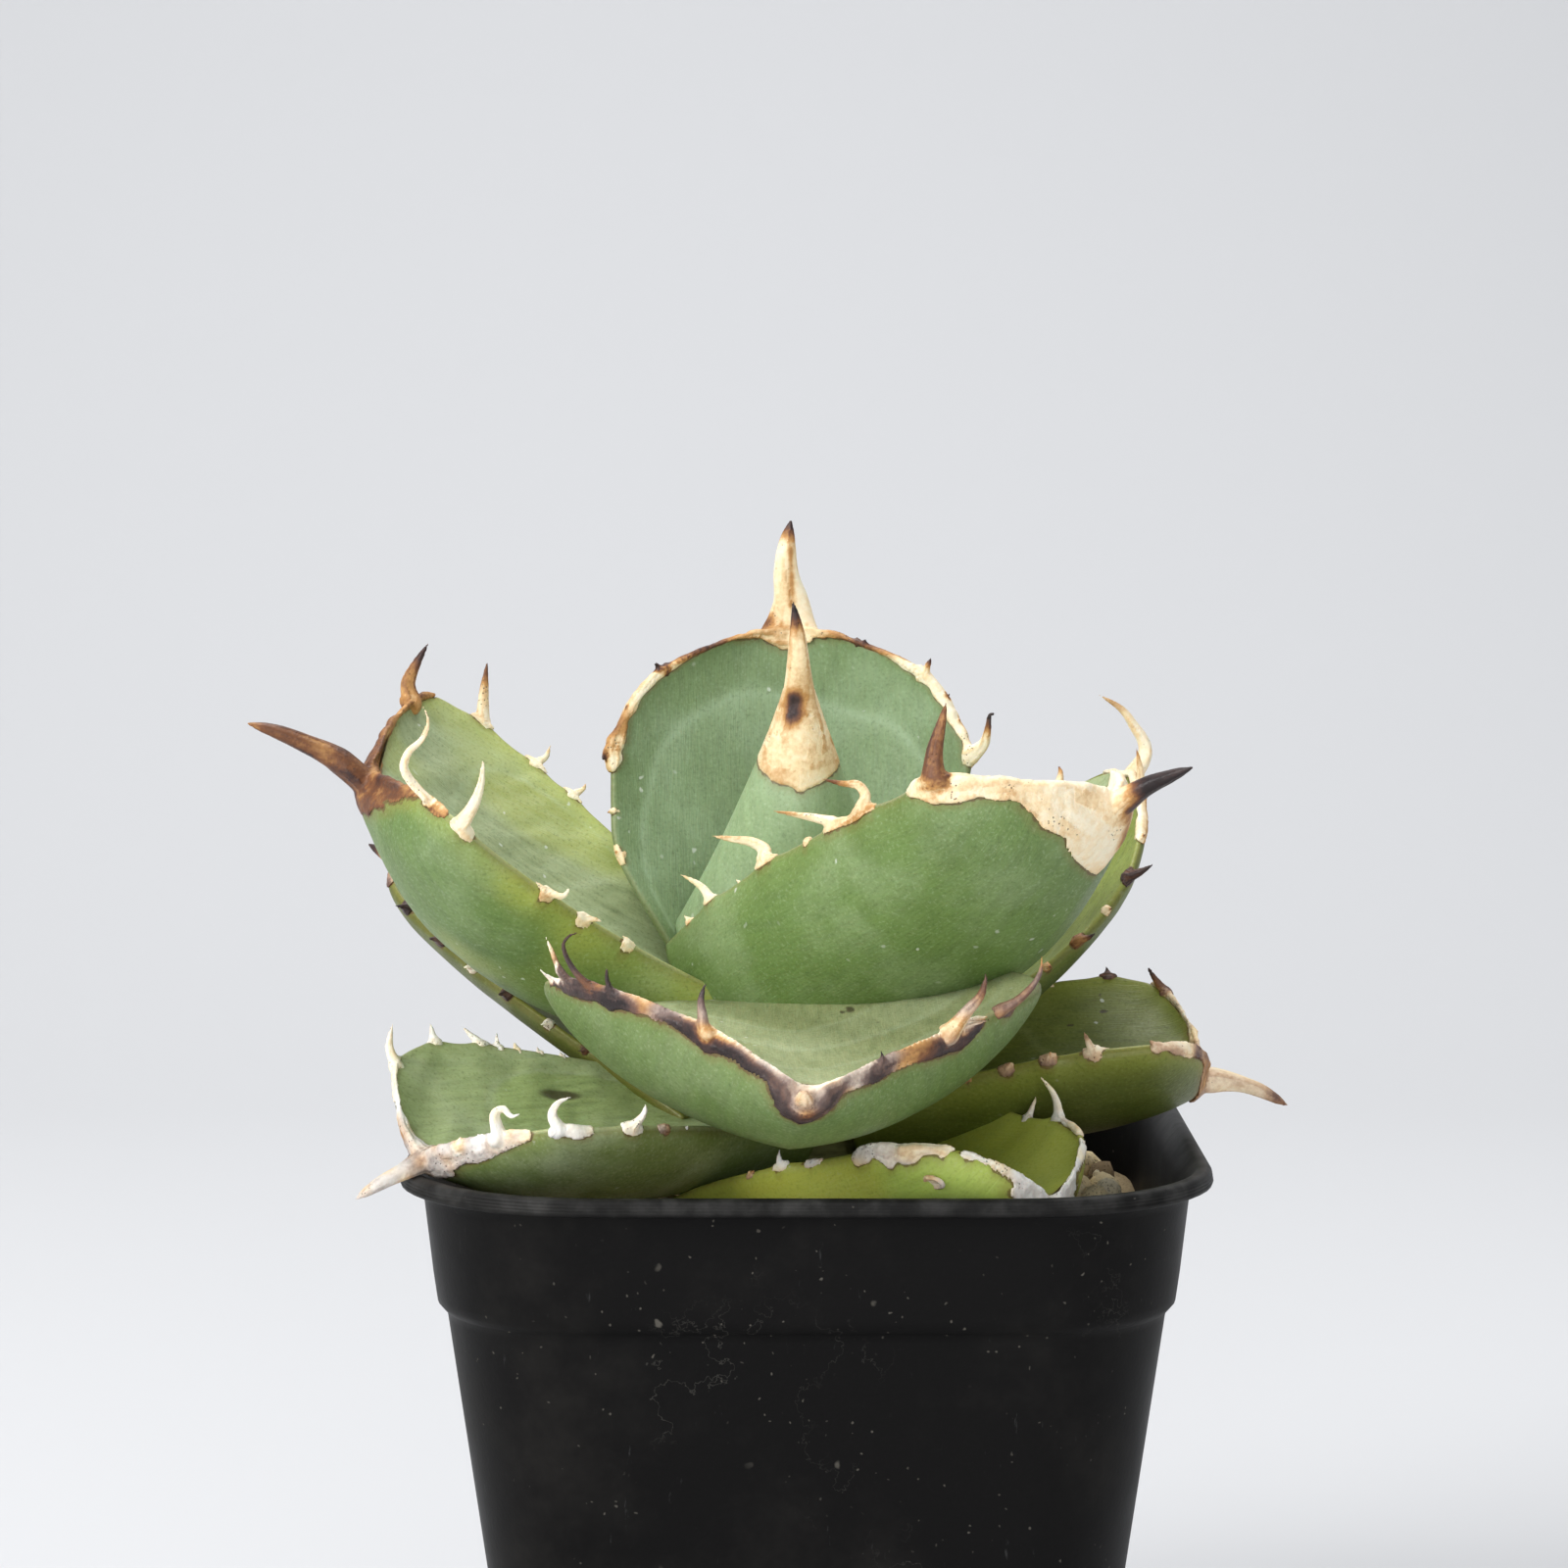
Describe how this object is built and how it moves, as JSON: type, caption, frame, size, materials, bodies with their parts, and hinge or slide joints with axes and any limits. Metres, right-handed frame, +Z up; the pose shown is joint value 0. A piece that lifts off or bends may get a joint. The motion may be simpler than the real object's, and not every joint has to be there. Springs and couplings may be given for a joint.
{
  "type": "potted orca agave",
  "caption": "Compact agave rosette of thick keeled leaves with horny toothed edges and tip spines, growing in a square nursery pot filled with pumice soil.",
  "frame": {"origin": "middle of the pot's underside, on the surface that the pot stands on", "axes": "+Z up, -Y towards the viewer of the picture (front), +X to the picture's right; the pot's sides are square to X and Y"},
  "size_m": [0.1185, 0.1115, 0.1495],
  "materials": {
    "pot_plastic": "satin black with dust",
    "soil_grit": "rough pumice and bark grit",
    "stem_core": "dull plant core",
    "leaf_blue_green": "waxy blue-green leaf with a light bloom",
    "leaf_green": "waxy green leaf",
    "leaf_yellow_green": "waxy yellow-green leaf",
    "horn": "dry cream to brown horn, dark at the points",
    "horn_aged": "weathered whitish horn"
  },
  "bodies": {
    "root": {"pot": "pot_plastic", "soil": "soil_grit", "stem": "stem_core", "leaf_01_centre": "leaf_blue_green", "horn_01_centre": "horn", "leaf_02_back": "leaf_blue_green", "horn_02_back": "horn", "leaf_03_right_front": "leaf_green", "horn_03_right_front": "horn", "leaf_04_left": "leaf_green", "horn_04_left": "horn", "leaf_05_right_back": "leaf_yellow_green", "horn_05_right_back": "horn", "leaf_06_front": "leaf_green", "horn_06_front": "horn_aged", "leaf_07_left_back": "leaf_green", "horn_07_left_back": "horn_aged", "leaf_08_right": "leaf_green", "horn_08_right": "horn", "leaf_09_left_front": "leaf_green", "horn_09_left_front": "horn_aged", "leaf_10_back_low": "leaf_green", "horn_10_back_low": "horn", "leaf_11_front_low": "leaf_yellow_green", "horn_11_front_low": "horn"}
  },
  "joints": []
}
